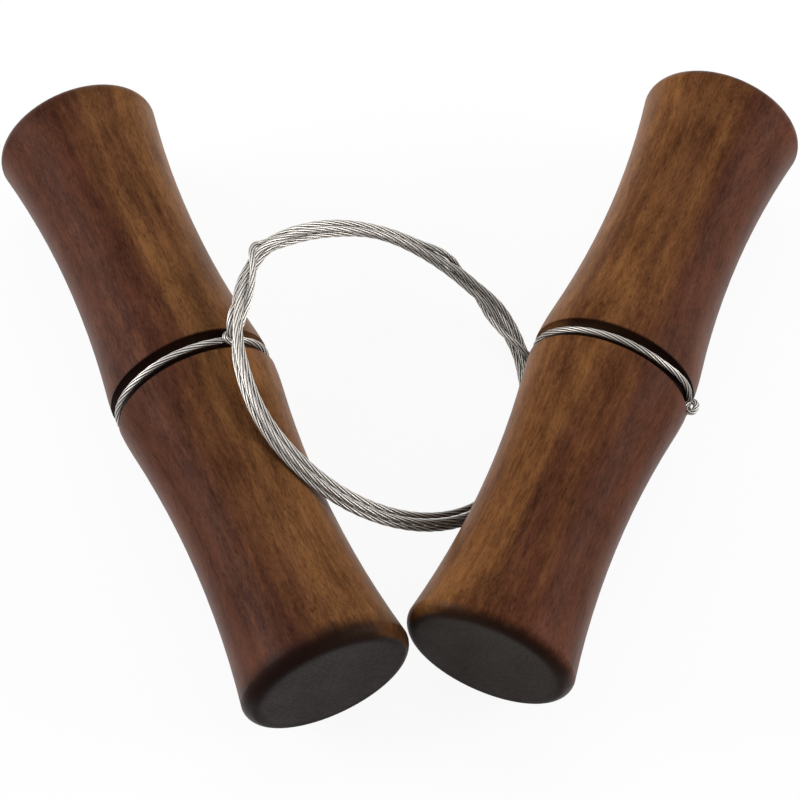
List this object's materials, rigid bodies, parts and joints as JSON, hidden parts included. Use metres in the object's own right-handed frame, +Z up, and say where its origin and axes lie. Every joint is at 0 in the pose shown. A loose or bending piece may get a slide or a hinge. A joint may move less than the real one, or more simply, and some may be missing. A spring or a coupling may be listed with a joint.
{
  "type": "clay cutter",
  "caption": "Wire clay cutter: turned wooden handles, each spinning in a noose of a stranded steel wire that is stored as a coil between them.",
  "frame": {"origin": "middle of the footprint of the two handles, on the surface that they lie on", "axes": "+Z up from that surface, +X to the right-hand handle, +Y away from the viewer, from the handles' close near ends to their spread far ends"},
  "size_m": [0.1226, 0.1042, 0.0275],
  "materials": {
    "wood": "dark brown stain, satin",
    "wire": "bright drawn stainless strands"
  },
  "bodies": {
    "cutting_wire": {"left_noose": "wire", "right_noose": "wire", "left_knot": "wire", "right_knot": "wire", "wire_coil": "wire", "left_lead": "wire", "right_lead": "wire"},
    "left_grip": {"left_handle": "wood"},
    "right_grip": {"right_handle": "wood"}
  },
  "joints": [
    {"name": "left_handle_spin", "type": "hinge", "parent": "cutting_wire", "child": "left_grip", "pos_m": [-0.03007, -0.00126, 0.0125], "axis": [-0.4035, 0.915, 0], "continuous": true},
    {"name": "right_handle_spin", "type": "hinge", "parent": "cutting_wire", "child": "right_grip", "pos_m": [0.03111, 0.00187, 0.0125], "axis": [0.3875, 0.9219, 0], "continuous": true}
  ]
}
